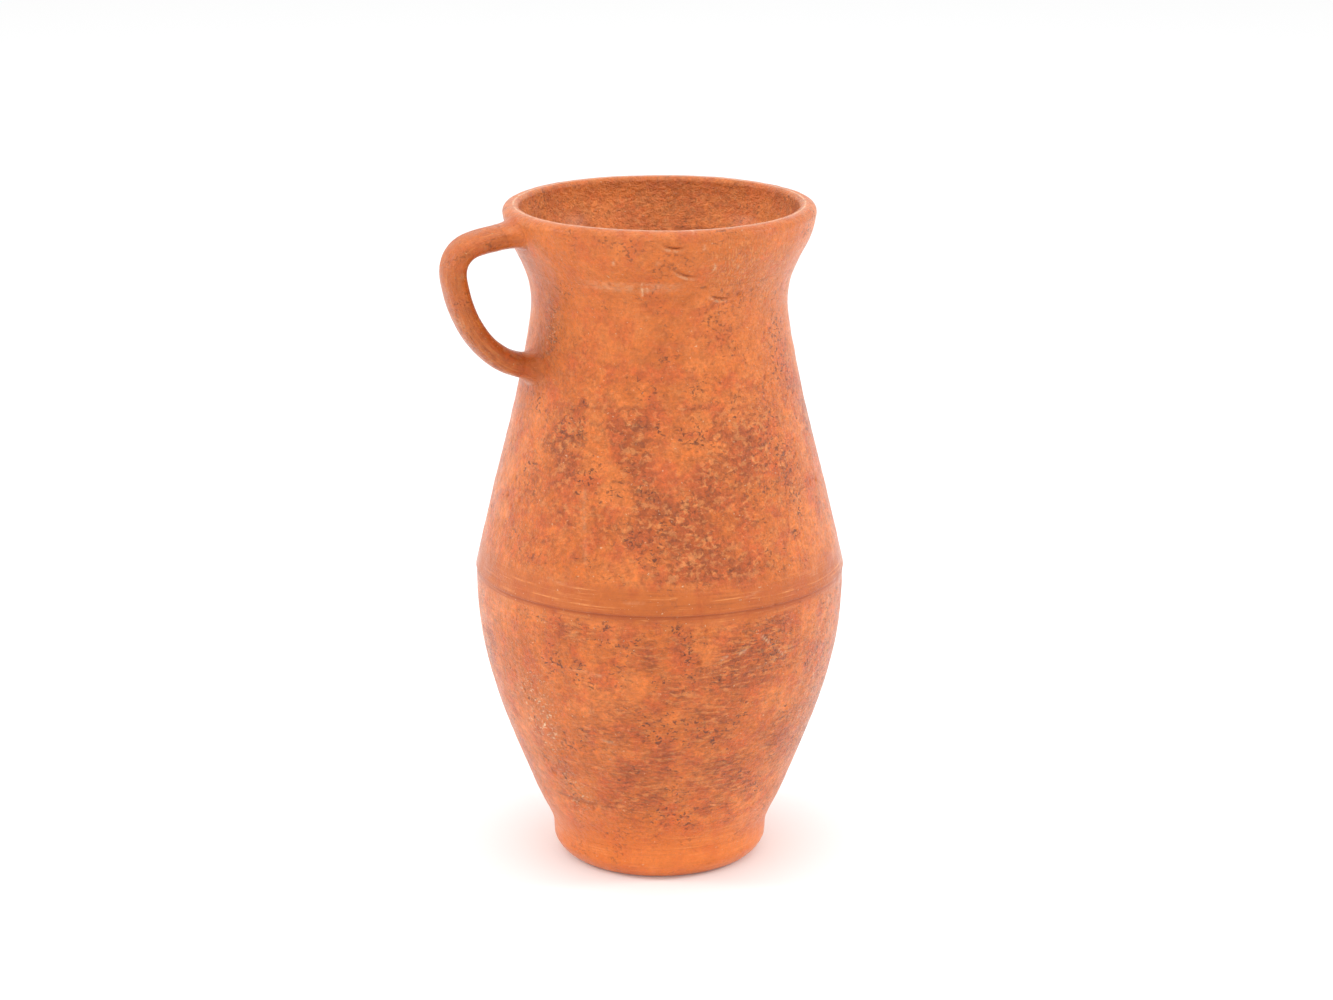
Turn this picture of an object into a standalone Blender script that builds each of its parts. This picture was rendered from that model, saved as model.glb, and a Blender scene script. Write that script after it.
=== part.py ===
"""A one-handled terracotta jug, 350 mm tall, as the separate pieces that a potter joins.

The origin is the centre of the flat underside, on the vessel's axis. +Z is up, and the handle
points along -X. The two halves of the body, the foot and the mouth meet in stepped laps, the strap
handle's ends sit in shallow sockets in the wall, and a fillet of clay is smoothed round each end.
A film of slip, GAP thick, parts every piece from its neighbour.
"""

import math

import bmesh
import bpy
import numpy as np
from mathutils import Vector

MM = 0.001

# Driving dimensions
HEIGHT = 350 * MM
WALL = 7.0 * MM  # horizontal thickness of the body's wall
LIP_WALL = 8.4 * MM  # the same at the lip
FLOOR = 10 * MM  # thickness of the bottom
GAP = 0.3 * MM  # film of slip between neighbours
SEGMENTS = 64  # facets round every turned piece
SMOOTH_ANGLE = 35  # degrees: an edge that bends more than this stays sharp

# Foot
BASE_RADIUS = 47.6 * MM  # the flat that it stands on
FOOT_RADIUS = 56.4 * MM
FOOT_EDGE_HEIGHT = 9.3 * MM  # height of the rounded bottom edge
FOOT_EDGE_POWER = 1.5  # superellipse: 1 is a chamfer and 2 an ellipse
FOOT_JOINT = 18 * MM  # height of the joint with the lower body
FLOOR_CORNER = 8 * MM  # radius where the floor turns up into the wall

# Outline of the outer skin: (height, radius) in millimetres
LOWER_OUTLINE = [
    (9.3, 56.4), (14, 56.5), (18, 57.1), (28, 61.4), (53, 72.2), (81, 83.0), (105, 90.2),
    (131, 95.0), (158.4, 96.35),
]
UPPER_OUTLINE = [
    (158.4, 96.8), (207, 85.3), (252, 74.1), (282, 68.1), (297, 66.1), (312, 67.6), (325, 73.0),
    (336, 78.2), (345.5, 80.4),
]

NECK_START = 262 * MM  # above this the upper half curves, and below it is nearly a cone

# Joints in the wall
LAP = 4.5 * MM  # height of the tongue on each lower piece
BELLY_JOINT = 158.4 * MM
HAIR = 0.01 * MM  # just above the belly joint, where the upper skin starts
NECK_JOINT = 320 * MM
SEAM_HEIGHT = 1.5 * MM  # ring of slip in the groove under the belly's edge
SEAM_RECESS = 0.5 * MM  # how far it lies below the skin
COIL_HEIGHT = 15 * MM  # coil pressed over the belly joint, inside
COIL_DEPTH = 4 * MM

# Lip
LIP_OUTER_ROUND = 4.2 * MM
LIP_INNER_ROUND = 2.5 * MM
THICKENING_START = 325 * MM  # where the wall starts to thicken towards the lip

# Handle: its centreline as (radius, height) in millimetres, from the lip to the shoulder
HANDLE_LINE = [
    (74.8, 339.7), (88, 338.6), (98, 336.9), (107.2, 333.2), (111.8, 325.8), (111.4, 315.5),
    (107.4, 302), (99.2, 287.2), (86, 275.5), (66.8, 269.4),
]
STRAP_WIDTH = 21 * MM
STRAP_THICKNESS = 12.4 * MM
STRAP_POWER = 2.3  # superellipse: 2 is an ellipse, more is squarer
STRAP_POINTS = 16
STRAP_RINGS = 24
LINE_STEP = 0.1 * MM  # stride along the centreline, to find its direction and the wall

# Welds, the clay smoothed round the handle's roots
WELD_RINGS = 9
WELD_ROOT = 2 * MM  # how far it starts inside the wall, before the wall is cut out of it
WELD_REACH = 8 * MM  # along the strap, from the wall
WELD_EDGE = 0.9 * MM  # how far it stands off the strap where it thins out
UPPER_WELD_SPREAD = 2.0 * MM  # how much wider it is on the wall
UPPER_WELD_DROP = 0.6 * MM  # lowered by this, to stay under the lip
LOWER_WELD_SPREAD = 3.0 * MM

# Looks: linear colour and roughness
CLAY = ((0.72, 0.21, 0.075), 0.7)
INNER_CLAY = ((0.72, 0.21, 0.075), 0.8)
DARK_SLIP = ((0.36, 0.10, 0.04), 0.75)
SMOOTHED_CLAY = ((0.76, 0.24, 0.08), 0.6)


def natural_spline(knots, values):
    """The natural cubic spline that takes these values at these knots, as a function."""
    knots = np.asarray(knots, float)
    values = np.asarray(values, float)
    step = np.diff(knots)
    slope = (np.diff(values.T) / step).T
    system = np.eye(len(knots))
    right = np.zeros_like(values)
    for i in range(1, len(knots) - 1):
        system[i, i - 1 : i + 2] = step[i - 1], 2 * (step[i - 1] + step[i]), step[i]
        right[i] = 6 * (slope[i] - slope[i - 1])
    bend = np.linalg.solve(system, right)

    def value(x):
        i = int(np.clip(np.searchsorted(knots, x) - 1, 0, len(step) - 1))
        before = x - knots[i]
        after = knots[i + 1] - x
        cubic = (bend[i] * after**3 + bend[i + 1] * before**3) / (6 * step[i])
        start = (values[i] / step[i] - bend[i] * step[i] / 6) * after
        end = (values[i + 1] / step[i] - bend[i + 1] * step[i] / 6) * before
        return cubic + start + end

    return value


def skin(outline):
    """The outer radius as a function of height."""
    heights, radii = np.array(outline).T * MM
    return natural_spline(heights, radii)


lower_skin = skin(LOWER_OUTLINE)
upper_skin = skin(UPPER_OUTLINE)


def outer_radius(z):
    return float(upper_skin(z) if z > BELLY_JOINT else lower_skin(z))


def wall_thickness(z):
    share = np.clip((z - THICKENING_START) / (HEIGHT - LIP_OUTER_ROUND - THICKENING_START), 0, 1)
    return WALL + (LIP_WALL - WALL) * share * share * (3 - 2 * share)


def inner_radius(z):
    return outer_radius(z) - float(wall_thickness(z))


def middle_radius(z):
    return (outer_radius(z) + inner_radius(z)) / 2


def run(radius, start, end, steps):
    """Points of one skin from one height to another, both ends included."""
    return [(radius(z), z) for z in np.linspace(start, end, steps + 1)]


def tongue(joint):
    """The top end of the piece below a joint: a shoulder, then a tongue on the inner half."""
    shoulder = joint - GAP / 2
    top = shoulder + LAP
    return [
        (middle_radius(shoulder) - GAP / 2, shoulder),
        (middle_radius(top) - GAP / 2, top),
    ]


def rebate(joint):
    """The bottom end of the piece above a joint: a step that takes the tongue."""
    edge = joint + GAP / 2
    top = edge + LAP
    return [
        (middle_radius(top) + GAP / 2, top),
        (middle_radius(edge) + GAP / 2, edge),
    ]


def material(name, look):
    colour, roughness = look
    mat = bpy.data.materials.new(name)
    mat.use_nodes = True
    shader = mat.node_tree.nodes["Principled BSDF"]
    shader.inputs["Base Color"].default_value = (*colour, 1)
    shader.inputs["Roughness"].default_value = roughness
    shader.inputs["Metallic"].default_value = 0
    return mat


def finish_mesh(name, mesh_maker, mat):
    """Wraps a bmesh up as a named, smooth-shaded object with its faces pointing out."""
    bmesh.ops.recalc_face_normals(mesh_maker, faces=mesh_maker.faces)
    mesh = bpy.data.meshes.new(name)
    mesh_maker.to_mesh(mesh)
    mesh_maker.free()
    mesh.shade_smooth()
    mesh.set_sharp_from_angle(angle=math.radians(SMOOTH_ANGLE))
    obj = bpy.data.objects.new(name, mesh)
    bpy.context.scene.collection.objects.link(obj)
    if mat:
        mesh.materials.append(mat)
    return obj


def rings_to_mesh(rings, closed_along):
    """Joins rings of points, each a closed loop, with quads, and caps the ends of an open run."""
    bm = bmesh.new()
    loops = [[bm.verts.new(point) for point in ring] for ring in rings]
    pairs = list(zip(loops, loops[1:]))
    if closed_along:
        pairs.append((loops[-1], loops[0]))
    for first, second in pairs:
        for i in range(len(first)):
            j = (i + 1) % len(first)
            bm.faces.new((first[i], first[j], second[j], second[i]))
    if not closed_along:
        bm.faces.new(loops[0])
        bm.faces.new(loops[-1])
    return bm


def turned(name, profile, mat):
    """Turns a closed (radius, height) profile about the Z axis. Where the profile starts and ends
    on the axis, those two points are left out and flat caps close the end rings."""
    on_axis = [point for point in profile if point[0] == 0]
    solid_points = [point for point in profile if point[0] > 0]
    angles = [2 * math.pi * i / SEGMENTS for i in range(SEGMENTS)]
    rings = [[(r * math.cos(a), r * math.sin(a), z) for a in angles] for r, z in solid_points]
    bm = rings_to_mesh(rings, closed_along=not on_axis)
    return finish_mesh(name, bm, mat)


def cut(obj, cutter):
    modifier = obj.modifiers.new("cut_" + cutter.name, "BOOLEAN")
    modifier.operation = "DIFFERENCE"
    modifier.solver = "EXACT"
    modifier.object = cutter


def make_cutter(obj):
    obj.hide_render = True
    obj.display_type = "WIRE"
    return obj


def arc(centre, radius, start, end, steps):
    """Points of a round corner, from one angle to another in degrees, both ends included."""
    angles = np.radians(np.linspace(start, end, steps + 1))
    return [
        (centre[0] + radius * math.cos(a), centre[1] + radius * math.sin(a)) for a in angles
    ]


def make_foot(mat):
    """A dish: flat underside, rounded edge, floor, and a tongue for the lower body."""
    edge = []
    for t in np.linspace(0, 1, 6):
        angle = t * math.pi / 2
        across = math.sin(angle) ** (2 / FOOT_EDGE_POWER)
        up = 1 - math.cos(angle) ** (2 / FOOT_EDGE_POWER)
        edge.append((BASE_RADIUS + (FOOT_RADIUS - BASE_RADIUS) * across, FOOT_EDGE_HEIGHT * up))
    shoulder = FOOT_JOINT - GAP / 2
    band = run(outer_radius, FOOT_EDGE_HEIGHT, shoulder, 3)[1:]
    tongue_top = shoulder + LAP
    corner_top = FLOOR + FLOOR_CORNER
    corner_centre = inner_radius(corner_top) - FLOOR_CORNER
    corner = arc((corner_centre, corner_top), FLOOR_CORNER, 0, -90, 4)
    profile = edge + band + tongue(FOOT_JOINT) + [(inner_radius(tongue_top), tongue_top)] + corner
    return turned("foot", [(0, 0), *profile, (0, FLOOR)], mat)


def make_lower_body(mat):
    """The lower half: a rebate over the foot, and a shoulder with a tongue at the belly."""
    seam_floor = BELLY_JOINT - SEAM_HEIGHT - 2 * GAP
    tongue_top = BELLY_JOINT - GAP / 2 + LAP
    coil_bottom = BELLY_JOINT + LAP - COIL_HEIGHT / 2
    profile = run(outer_radius, FOOT_JOINT + GAP / 2, seam_floor, 10)
    profile += [(middle_radius(seam_floor) - GAP / 2, seam_floor)]
    profile += [(middle_radius(tongue_top) - GAP / 2, tongue_top)]
    profile += run(inner_radius, tongue_top, coil_bottom, 3)
    profile += run(inner_radius, coil_bottom, FOOT_JOINT + GAP / 2 + LAP, 6)[1:]
    profile += rebate(FOOT_JOINT)
    return turned("lower_body", profile, mat)


def make_belly_slip_seam(mat):
    """The ring of slip in the groove between the two halves."""
    top = BELLY_JOINT - GAP
    bottom = top - SEAM_HEIGHT
    outside = outer_radius(bottom) - SEAM_RECESS
    inside = middle_radius(bottom) + GAP
    profile = [(outside, bottom), (outside, top), (inside, top), (inside, bottom)]
    return turned("belly_slip_seam", profile, mat)


def make_belly_luting_coil(mat):
    """The coil pressed over the joint's inner line, flattened against the wall."""
    centre = BELLY_JOINT + LAP
    bottom = centre - COIL_HEIGHT / 2
    top = centre + COIL_HEIGHT / 2
    back = run(inner_radius, bottom, top, 4)
    back = [(radius - 1.5 * GAP, z) for radius, z in back]
    front = []
    for t in np.linspace(0, math.pi, 7)[1:-1]:
        z = centre + COIL_HEIGHT / 2 * math.cos(t)
        front.append((inner_radius(z) - GAP - COIL_DEPTH * math.sin(t), z))
    return turned("belly_luting_coil", back + front, mat)


def make_upper_body(mat):
    """The upper half: shoulder and neck, a rebate at the belly and a tongue for the mouth."""
    tongue_top = NECK_JOINT - GAP / 2 + LAP
    profile = run(outer_radius, BELLY_JOINT + HAIR, NECK_START, 4)
    profile += run(outer_radius, NECK_START, NECK_JOINT - GAP / 2, 8)[1:]
    profile += tongue(NECK_JOINT)
    profile += run(inner_radius, tongue_top, NECK_START, 6)
    profile += run(inner_radius, NECK_START, BELLY_JOINT + GAP / 2 + LAP, 3)[1:]
    profile += rebate(BELLY_JOINT)
    return turned("upper_body", profile, mat)


def lip_outer_edge(grow):
    """The rounded outer edge of the lip, from the skin to the flat top."""
    height = HEIGHT - LIP_OUTER_ROUND
    centre = (outer_radius(height) - LIP_OUTER_ROUND, height)
    return arc(centre, LIP_OUTER_ROUND + grow, 0, 90, 4)


def lip_inner_edge():
    """The rounded inner edge of the lip, from the flat top to the skin inside."""
    inside = outer_radius(HEIGHT - LIP_OUTER_ROUND) - LIP_WALL
    centre = (inside + LIP_INNER_ROUND, HEIGHT - LIP_INNER_ROUND)
    return arc(centre, LIP_INNER_ROUND, 90, 180, 3)


def make_rim_collar(mat):
    """The flared mouth: a rebate over the neck's tongue, and a lip rounded on both edges."""
    round_start = HEIGHT - LIP_OUTER_ROUND
    profile = run(outer_radius, NECK_JOINT + GAP / 2, round_start, 6)
    profile += lip_outer_edge(0)[1:] + lip_inner_edge()
    profile += run(inner_radius, round_start - LIP_INNER_ROUND, NECK_JOINT + GAP / 2 + LAP, 3)
    profile += rebate(NECK_JOINT)
    return turned("rim_collar", profile, mat)


def handle_frame():
    """The handle's centreline as a function of distance along it, and its length."""
    points = np.array(HANDLE_LINE) * MM
    distance = np.concatenate([[0], np.cumsum(np.linalg.norm(np.diff(points, axis=0), axis=1))])
    return natural_spline(distance, points), distance[-1]


def strap_ring(line, along, half_thickness, half_width, drop):
    """One superellipse section across the centreline, in the plane that the strap crosses there."""
    radius, height = line(along)
    ahead = line(along + LINE_STEP) - line(along - LINE_STEP)
    radial, upward = ahead / np.linalg.norm(ahead)
    ring = []
    for i in range(STRAP_POINTS):
        angle = 2 * math.pi * i / STRAP_POINTS
        flat = math.cos(angle)
        wide = math.sin(angle)
        off = half_thickness * math.copysign(abs(flat) ** (2 / STRAP_POWER), flat)
        side = half_width * math.copysign(abs(wide) ** (2 / STRAP_POWER), wide)
        ring.append(Vector((-(radius - upward * off), side, height + radial * off - drop)))
    return ring


def strap(name, start, end, rings, grow, mat, drop=0.0):
    """A stretch of the strap. grow gives how much it is enlarged at each distance along it."""
    line, _ = handle_frame()
    loops = []
    for along in np.linspace(start, end, rings):
        half_thickness = STRAP_THICKNESS / 2 + grow(along)
        half_width = STRAP_WIDTH / 2 + grow(along)
        loops.append(strap_ring(line, along, half_thickness, half_width, drop))
    return finish_mesh(name, rings_to_mesh(loops, closed_along=False), mat)


def make_weld(name, start, outwards, spread, drop, mat):
    """Clay smoothed round one root: wide on the wall, and thinning out along the strap."""

    def grow(along):
        reached = abs(along - start) / WELD_REACH
        return WELD_EDGE + spread * max(0.0, 1 - reached) ** 2

    root = start - outwards * WELD_ROOT
    end = start + outwards * WELD_REACH
    return strap(name, root, end, WELD_RINGS, grow, mat, drop)


def wall_distance(start, direction):
    """How far along the centreline the handle leaves the wall, going in this direction."""
    line, _ = handle_frame()
    along = start
    radius, height = line(along)
    while radius < outer_radius(height):
        along += direction * LINE_STEP
        radius, height = line(along)
    return along


def build():
    for obj in list(bpy.data.objects):
        bpy.data.objects.remove(obj, do_unlink=True)

    make_foot(material("foot_clay", SMOOTHED_CLAY))
    make_lower_body(material("lower_body_clay", CLAY))
    make_belly_slip_seam(material("belly_slip", DARK_SLIP))
    make_belly_luting_coil(material("coil_clay", INNER_CLAY))
    upper_body = make_upper_body(material("upper_body_clay", CLAY))
    rim_collar = make_rim_collar(material("rim_clay", CLAY))

    _, length = handle_frame()
    handle_clay = material("handle_clay", SMOOTHED_CLAY)
    strap("handle", 0, length, STRAP_RINGS, lambda along: 0.0, handle_clay)
    clearance = make_cutter(
        strap("handle_clearance", -GAP, length + GAP, STRAP_RINGS, lambda along: GAP, None)
    )
    cut(upper_body, clearance)
    cut(rim_collar, clearance)

    bottom = BELLY_JOINT + MM
    grown = [(r + GAP, z) for r, z in run(outer_radius, bottom, HEIGHT - LIP_OUTER_ROUND, 30)]
    grown += lip_outer_edge(GAP)[1:]
    wall = make_cutter(turned("wall_clearance", [(0, bottom), *grown, (0, HEIGHT + GAP)], None))
    for name, start, outwards, spread, drop in (
        ("upper_handle_weld", wall_distance(0, 1), 1, UPPER_WELD_SPREAD, UPPER_WELD_DROP),
        ("lower_handle_weld", wall_distance(length, -1), -1, LOWER_WELD_SPREAD, 0.0),
    ):
        weld_clay = material(name + "_clay", SMOOTHED_CLAY)
        weld = make_weld(name, start, outwards, spread, drop, weld_clay)
        cut(weld, wall)
        cut(weld, clearance)


build()
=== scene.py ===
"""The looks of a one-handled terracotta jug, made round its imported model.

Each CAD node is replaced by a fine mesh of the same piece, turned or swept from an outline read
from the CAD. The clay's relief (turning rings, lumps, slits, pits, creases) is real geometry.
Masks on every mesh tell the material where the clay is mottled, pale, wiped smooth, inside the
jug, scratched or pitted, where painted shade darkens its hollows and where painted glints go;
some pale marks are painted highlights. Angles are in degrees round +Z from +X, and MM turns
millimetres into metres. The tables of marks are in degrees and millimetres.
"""

import math

import bpy
import numpy as np
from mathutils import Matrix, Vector


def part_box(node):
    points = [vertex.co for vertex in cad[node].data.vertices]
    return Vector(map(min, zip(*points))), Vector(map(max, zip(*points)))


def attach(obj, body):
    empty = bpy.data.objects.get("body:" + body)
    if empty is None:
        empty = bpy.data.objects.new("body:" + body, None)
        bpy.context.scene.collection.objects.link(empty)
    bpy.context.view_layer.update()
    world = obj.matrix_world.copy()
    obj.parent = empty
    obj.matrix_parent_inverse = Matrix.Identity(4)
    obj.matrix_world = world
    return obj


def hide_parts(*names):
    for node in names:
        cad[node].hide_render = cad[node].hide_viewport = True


MM = 0.001
MASKS = ("mottled", "pale", "painted_shade", "wiped", "inside", "glint_field", "scratched", "pitted")

# Camera
CAMERA_AZIMUTH = -23.0  # 0 looks along +Y
CAMERA_PITCH = 15.8
CAMERA_YAW = -0.124  # off the vessel's axis
CAMERA_DISTANCE = 1.688  # from the vessel's axis, level
CAMERA_HEIGHT = 0.6695
LENS = 90.45  # mm, on a 36 mm sensor

# Light: strength of the white surroundings, then softboxes by angle round from the camera,
# distance from the vessel's axis, height, side and power
WORLD_STRENGTH = 1.0
LIGHTS = {
    "overhead": (0, 0.3, 2.6, 2.2, 31),
    "left_rim": (-85, 1.7, 1.2, 0.5, 11),
    "right_rim": (85, 1.7, 1.2, 0.5, 11),
}

# Mesh detail
BODY_COLUMNS = 480
COLLAR_COLUMNS = 840
OUTER_ROW = 1.2 * MM
INNER_ROW = 3.4 * MM
COLLAR_ROW = 0.65 * MM
FINE_NECK = 306 * MM  # above this the upper half has the collar's finer rows
JOINT_LINE = 0.05 * MM  # what is left of a joint where its edges are smoothed together

# Shapes that the CAD shares, and doesn't give as a box
FOOT_EDGE_HEIGHT = 9.3 * MM
FOOT_EDGE_POWER = 1.5
FLOOR_CORNER = 8 * MM
LIP_OUTER_ROUND = 4.2 * MM
LIP_INNER_ROUND = 2.5 * MM
LAP = 4.5 * MM
STRAP_POWER = 2.3

# Shapes that only the looks have
WIRE_HOLLOW = 0.8 * MM  # depth that the cutting wire left under the foot
EASED_EDGE = 0.6 * MM  # round on the upper half's lower edge
SLIP_DEPTH = 2.5 * MM  # how far the slip reaches into its groove
SLIP_SUNK = 0.20 * MM  # how far its top is sunk under the upper half's edge
COIL_BULGE = 4 * MM  # how far the luting coil stands off the wall
FINGER_PUSHES = 36  # dents round the coil
FINGER_DEPTH = 0.9 * MM
STRAP_POINTS = 72  # round the strap's section
STRAP_RINGS = 190
WELD_RINGS = 22
WELD_ROOT = 1.6 * MM  # how far a weld's hidden end is inside the wall
SHARP_ANGLE = 62  # an edge that turns by more degrees than this stays sharp

# Curved slits in the collar: angle, height, length, tilt in degrees
SLITS = [(-108, 342, 10, -6), (-103, 327, 10, -18), (-87, 313, 10, -12)]

# Single pits: angle, height, radius, depth
PITS = [
    (-78, 314, 1.5, 0.8), (-90, 309, 1.3, 0.5), (-103, 311, 1.2, 0.4), (-101, 133, 1.8, 0.7),
    (-76, 159, 1.4, 0.5), (-99, 150, 1.5, 0.5), (-179, 267, 1.6, 0.6), (-175, 215, 1.7, 0.6),
    (-178, 205, 1.5, 0.6), (-169, 205, 1.5, 0.5), (-64, 269, 1.8, 0.6), (-66, 279, 1.3, 0.5),
    (-41, 210, 1.7, 0.6), (-47, 211, 1.5, 0.5), (-52, 235, 1.6, 0.5), (-151, 119, 1.6, 0.4),
    (-158, 113, 1.6, 0.5), (-166, 116, 1.8, 0.5), (-143, 42, 1.5, 0.4), (-159, 59, 1.6, 0.4),
]

# Mottled patches: angle, height, half-width, half-height, strength
PATCHES = [
    (-127, 247, 8, 10, 1.1), (-151, 244, 11, 12, 1.0), (-119, 248, 5, 9, 0.9),
    (-88, 246, 9, 10, 0.8), (-74, 243, 11, 14, 1.0), (-148, 230, 12, 9, 0.9),
    (-121, 231, 6, 8, 1.1), (-93, 228, 10, 9, 0.9), (-79, 226, 11, 10, 0.9),
    (-117, 218, 6, 9, 0.8), (-98, 214, 11, 9, 1.0), (-82, 208, 9, 9, 0.6),
    (-106, 202, 12, 11, 1.9), (-100, 189, 14, 10, 1.8), (-91, 179, 18, 6, 1.6),
    (-114, 208, 9, 12, 1.1),
    (-128, 198, 12, 8, 0.7), (-146, 206, 12, 9, 0.6), (-60, 222, 9, 14, 0.6),
    (-163, 214, 9, 12, 0.4), (-110, 176, 9, 5, 0.6),
    (-78, 149, 15, 6, 0.9), (-88, 138, 12, 6, 1.1), (-74, 132, 15, 9, 1.0),
    (-92, 126, 12, 7, 1.1), (-84, 118, 15, 7, 0.9), (-107, 144, 9, 4, 0.7),
    (-117, 136, 6, 6, 0.7), (-142, 149, 14, 5, 0.8), (-105, 117, 9, 5, 0.6),
    (-96, 104, 15, 8, 0.7), (-126, 106, 15, 8, 0.4), (-133, 92, 16, 7, 0.6),
    (-112, 80, 5, 10, 1.0), (-95, 88, 12, 8, 0.6), (-88, 70, 15, 7, 1.0),
    (-123, 68, 11, 9, 0.9), (-116, 52, 11, 6, 1.0), (-131, 47, 12, 4, 0.7),
    (-84, 57, 16, 6, 0.9), (-92, 45, 12, 3, 0.8), (-64, 78, 12, 14, 0.7),
    (-150, 66, 9, 5, 0.5),
]
# Clear streaks down through the mottling: angle and height at each end, half-width, strength
CLEAR_STREAKS = [
    (-142, 262, -137, 178, 2.2, 0.9),
    (-110, 264, -108, 228, 6.5, 0.9),
    (-109, 62, -108, 36, 4.5, 0.6),
]
HIDDEN_SIDE_PATCHES = 46  # scattered over the rest of the body
SCATTERED_PITS = 90  # all round it

# Pale marks: start angle and height, end angle and height, half-width, strength
PALE_LINES = [
    (-140, 218, -137, 182, 1.0, 0.10), (-81, 144, -72, 131, 0.3, 0.45), (-84, 125, -70, 131, 0.4, 0.16),
    (-143, 127, -131, 125, 0.5, 0.22), (-120, 323, -120, 316, 0.4, 0.5), (-118, 322, -118, 318, 0.4, 0.4),
    (-100, 352, -101, 349, 0.5, 0.5), (-97, 343, -97, 341, 0.6, 0.9), (-92, 332, -92, 330, 0.7, 0.9),
    (-82, 331, -82, 329, 0.4, 0.5), (-130, 334, -130, 333, 0.6, 0.5), (-114, 334, -113, 334, 0.9, 0.3),
    (-94, 134, -92, 135, 0.6, 0.6), (-88, 136, -86, 137, 0.7, 0.45), (-150, 172, -139, 170, 0.5, 0.14),
    (-124, 165, -118, 165, 0.5, 0.1), (-86, 165, -81, 167, 0.5, 0.1), (-133, 87, -128, 86, 0.8, 0.2),
]
# Fields of small marks: angle, height, half-width in degrees, half-height, strength
# Where painted glints are scattered: bright dots for light caught on the bumps
GLINT_FIELDS = [
    (-158, 96, 8, 26, 0.75), (-151, 52, 8, 13, 0.75), (-52, 105, 9, 40, 0.35),
    (-168, 292, 6, 16, 0.4),
]
# Real scratches in the relief, lightened as painted glints
SCRATCHED = [(-81, 331, 16, 16, 1.0), (-60, 322, 12, 22, 0.8)]
# Where pits are common, darkened inside as painted shade
PITTED = [
    (-50, 282, 9, 24, 1.0), (-62, 226, 9, 22, 0.7), (-166, 292, 7, 16, 0.8),
    (-88, 300, 12, 12, 0.6), (-78, 140, 14, 16, 0.5), (-45, 120, 12, 40, 0.7),
    (-150, 285, 10, 12, 0.3),
]
LIP_HIGHLIGHT = 74.6  # radius of the painted highlight along the lip's inner edge
NECK_BAND = (-149, -97, 318, 323)  # pale band round the neck: first and last angle, heights
# Creases, shallow grooves drawn as soft dark lines of painted shade: first and last angle, heights at its
# ends, rise in the middle, strength
CREASES = [
    (-166, -138, 46.6, 45.0, 0.0, 0.6), (-155, -133, 250, 256, 4.0, 0.34),
    (-132, -116, 257, 256, 2.5, 0.32),
    (-86, -64, 255, 252, 3.5, 0.36), (-122, -98, 189, 190, 1.2, 0.30), (-77, -58, 200, 200, 2.0, 0.28),
    (-118, -95, 196, 193, 1.0, 0.22), (-134, -112, 132, 128, 0.6, 0.26), (-112, -92, 147, 146, 0.4, 0.26),
    (-137, -127, 316, 316, -1.0, 0.26), (-146, -130, 60, 52, -2.0, 0.34), (-60, -45, 245, 236, 2.0, 0.3),
]
SEAM_SHADOW = 1.6  # half-height of the dark line under the belly's edge
MOTTLED_TOP = 259  # where the mottled shoulder ends, with a darker edge
BELLY_BAND = 14  # height of the band above the belly joint that is wiped smooth
FOOT_BAND = 30  # height that is wiped smooth at the foot
FOOT_RISE = 9  # over which that fades out

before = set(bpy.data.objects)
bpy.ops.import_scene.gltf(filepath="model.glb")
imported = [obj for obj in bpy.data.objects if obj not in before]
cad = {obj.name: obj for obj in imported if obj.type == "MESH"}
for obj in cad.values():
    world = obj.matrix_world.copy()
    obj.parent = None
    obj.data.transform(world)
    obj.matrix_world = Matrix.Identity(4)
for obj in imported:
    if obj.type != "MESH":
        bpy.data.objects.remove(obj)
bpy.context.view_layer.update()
WALL_NODES = ("foot", "lower_body", "upper_body", "rim_collar")

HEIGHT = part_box("rim_collar")[1].z
FOOT_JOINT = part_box("lower_body")[0].z
BELLY_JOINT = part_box("upper_body")[0].z
NECK_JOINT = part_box("rim_collar")[0].z
SEAM_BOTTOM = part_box("belly_slip_seam")[0].z
SEAM_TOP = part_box("belly_slip_seam")[1].z
SEAM_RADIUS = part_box("belly_slip_seam")[1].x
COIL_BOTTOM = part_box("belly_luting_coil")[0].z
COIL_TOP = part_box("belly_luting_coil")[1].z


# ---------------------------------------------------------------- curves and noise


def natural_spline(knots, values):
    """The natural cubic through values at knots, as a function of an array."""
    knots = np.asarray(knots, float)
    values = np.asarray(values, float).reshape(len(knots), -1)
    step = np.diff(knots)
    slope = np.diff(values, axis=0) / step[:, None]
    system = np.eye(len(knots))
    right = np.zeros_like(values)
    for i in range(1, len(knots) - 1):
        system[i, i - 1 : i + 2] = step[i - 1], 2 * (step[i - 1] + step[i]), step[i]
        right[i] = 6 * (slope[i] - slope[i - 1])
    bend = np.linalg.solve(system, right)

    def value(x):
        x = np.asarray(x, float)
        i = np.clip(np.searchsorted(knots, x) - 1, 0, len(step) - 1)
        before = (x - knots[i])[..., None]
        after = (knots[i + 1] - x)[..., None]
        h = step[i][..., None]
        cubic = (bend[i] * after**3 + bend[i + 1] * before**3) / (6 * h)
        start = (values[i] / h - bend[i] * h / 6) * after
        return cubic + start + (values[i + 1] / h - bend[i + 1] * h / 6) * before

    return value


def smoothstep(low, high, x):
    t = np.clip((x - low) / (high - low), 0, 1)
    return t * t * (3 - 2 * t)


def lattice(cell, seed):
    """A repeatable number from -1 to 1 for each cell of a lattice."""
    mixed = cell[..., 0] * 73856093 ^ cell[..., 1] * 19349663 ^ cell[..., 2] * 83492791
    mixed = (mixed ^ seed * 2654435761) & 0xFFFFFFFF
    mixed = (mixed ^ mixed >> 15) * 2246822519 & 0xFFFFFFFF
    mixed = (mixed ^ mixed >> 13) * 3266489917 & 0xFFFFFFFF
    return (mixed ^ mixed >> 16) / 2147483648.0 - 1


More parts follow.
